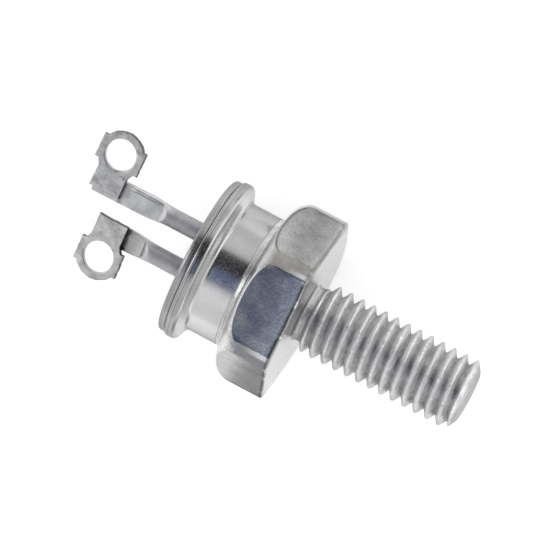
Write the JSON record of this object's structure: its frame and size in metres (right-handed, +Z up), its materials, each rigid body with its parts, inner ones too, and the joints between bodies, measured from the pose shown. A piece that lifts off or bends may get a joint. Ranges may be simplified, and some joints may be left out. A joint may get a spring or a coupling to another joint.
{
  "type": "thyristor",
  "caption": "Stud-mounted thyristor in a round metal case on a hexagonal base, with two tube terminals that end in flat solder lugs.",
  "frame": {"origin": "the point where the stud's axis crosses the seat, the flat face of the hexagon that clamps to a heat sink", "axes": "+X runs along the device's axis from the seat towards the terminals, the stud points to -X, and +Z is up with the device lying on one flat of its hexagon"},
  "size_m": [0.0271, 0.012, 0.0108],
  "materials": {
    "nickel_plate": "satin nickel plating on forged copper",
    "braze_alloy": "dull braze alloy",
    "sleeve_plate": "satin nickel plating on steel",
    "lid_plate": "bright nickel plating on steel",
    "seal_glass": "dark sealing glass, fire polished",
    "tinned_terminal": "dull tin over an iron alloy",
    "tinned_lug": "mottled dull tin",
    "solder": "matt solder",
    "molybdenum": "lapped molybdenum",
    "silicon": "etched silicon",
    "silicone_rubber": "cured silicone rubber",
    "lead_wire": "plated wire"
  },
  "bodies": {
    "root": {"stud_base": "nickel_plate", "sleeve_braze": "braze_alloy", "case_sleeve": "sleeve_plate", "header_ring": "lid_plate", "header_glass": "seal_glass", "cathode_tube": "tinned_terminal", "gate_tube": "tinned_terminal", "cathode_lug": "tinned_lug", "gate_lug": "tinned_lug", "anode_solder": "solder", "anode_disc": "molybdenum", "pellet_solder": "solder", "silicon_pellet": "silicon", "junction_coating": "silicone_rubber", "cathode_solder": "solder", "cathode_disc": "molybdenum", "cathode_joint": "solder", "cathode_lead": "lead_wire", "gate_joint": "solder", "gate_lead": "lead_wire"}
  },
  "joints": []
}
